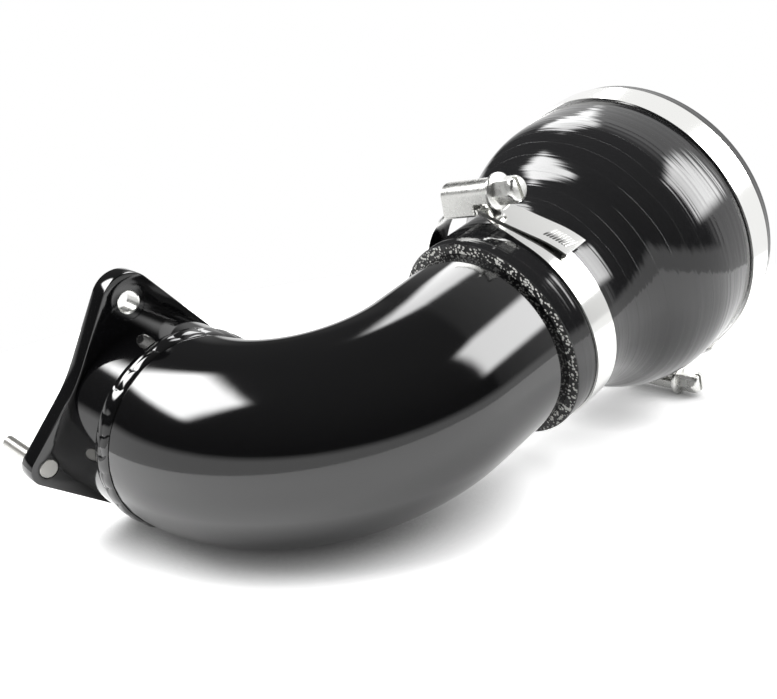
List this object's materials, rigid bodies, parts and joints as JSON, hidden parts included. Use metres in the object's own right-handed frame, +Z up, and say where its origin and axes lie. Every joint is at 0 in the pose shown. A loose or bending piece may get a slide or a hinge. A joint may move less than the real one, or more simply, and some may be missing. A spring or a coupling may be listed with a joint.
{
  "type": "turbo inlet pipe",
  "caption": "Gloss black elbow pipe with a welded eared flange and a silicone reducer hose on worm-drive clamps, carrying intake air to a turbocharger.",
  "frame": {"origin": "centre of the flange's sealing face, on the bore axis", "axes": "+Z up, with the part lying as it comes to rest on its flange end, its bend and its large clamp; the flange bore runs over +X into the pipe, falling by about 6 degrees, and the hose rises towards +Y"},
  "size_m": [0.1881, 0.273, 0.144],
  "materials": {
    "black_coat": "gloss black coat over aluminium",
    "silicone": "glossy wrapped silicone",
    "stainless": "polished stainless strip",
    "pin_steel": "turned bright steel"
  },
  "bodies": {
    "pipe_assembly": {"flange": "black_coat", "pipe": "black_coat", "weld_bead": "black_coat", "locating_pin": "pin_steel", "reducer_hose": "silicone", "small_clamp_band": "stainless", "small_clamp_housing": "stainless", "large_clamp_band": "stainless", "large_clamp_housing": "stainless"},
    "small_screw": {"small_clamp_screw": "stainless"},
    "large_screw": {"large_clamp_screw": "stainless"}
  },
  "joints": [
    {"name": "small_screw_turn", "type": "hinge", "parent": "pipe_assembly", "child": "small_screw", "pos_m": [0.09018, 0.09921, 0.07115], "axis": [0.9881, -0.0622, 0.1406], "continuous": true},
    {"name": "large_screw_turn", "type": "hinge", "parent": "pipe_assembly", "child": "large_screw", "pos_m": [0.09955, 0.21073, -0.03526], "axis": [0.9996, -0.0216, -0.0196], "continuous": true}
  ]
}
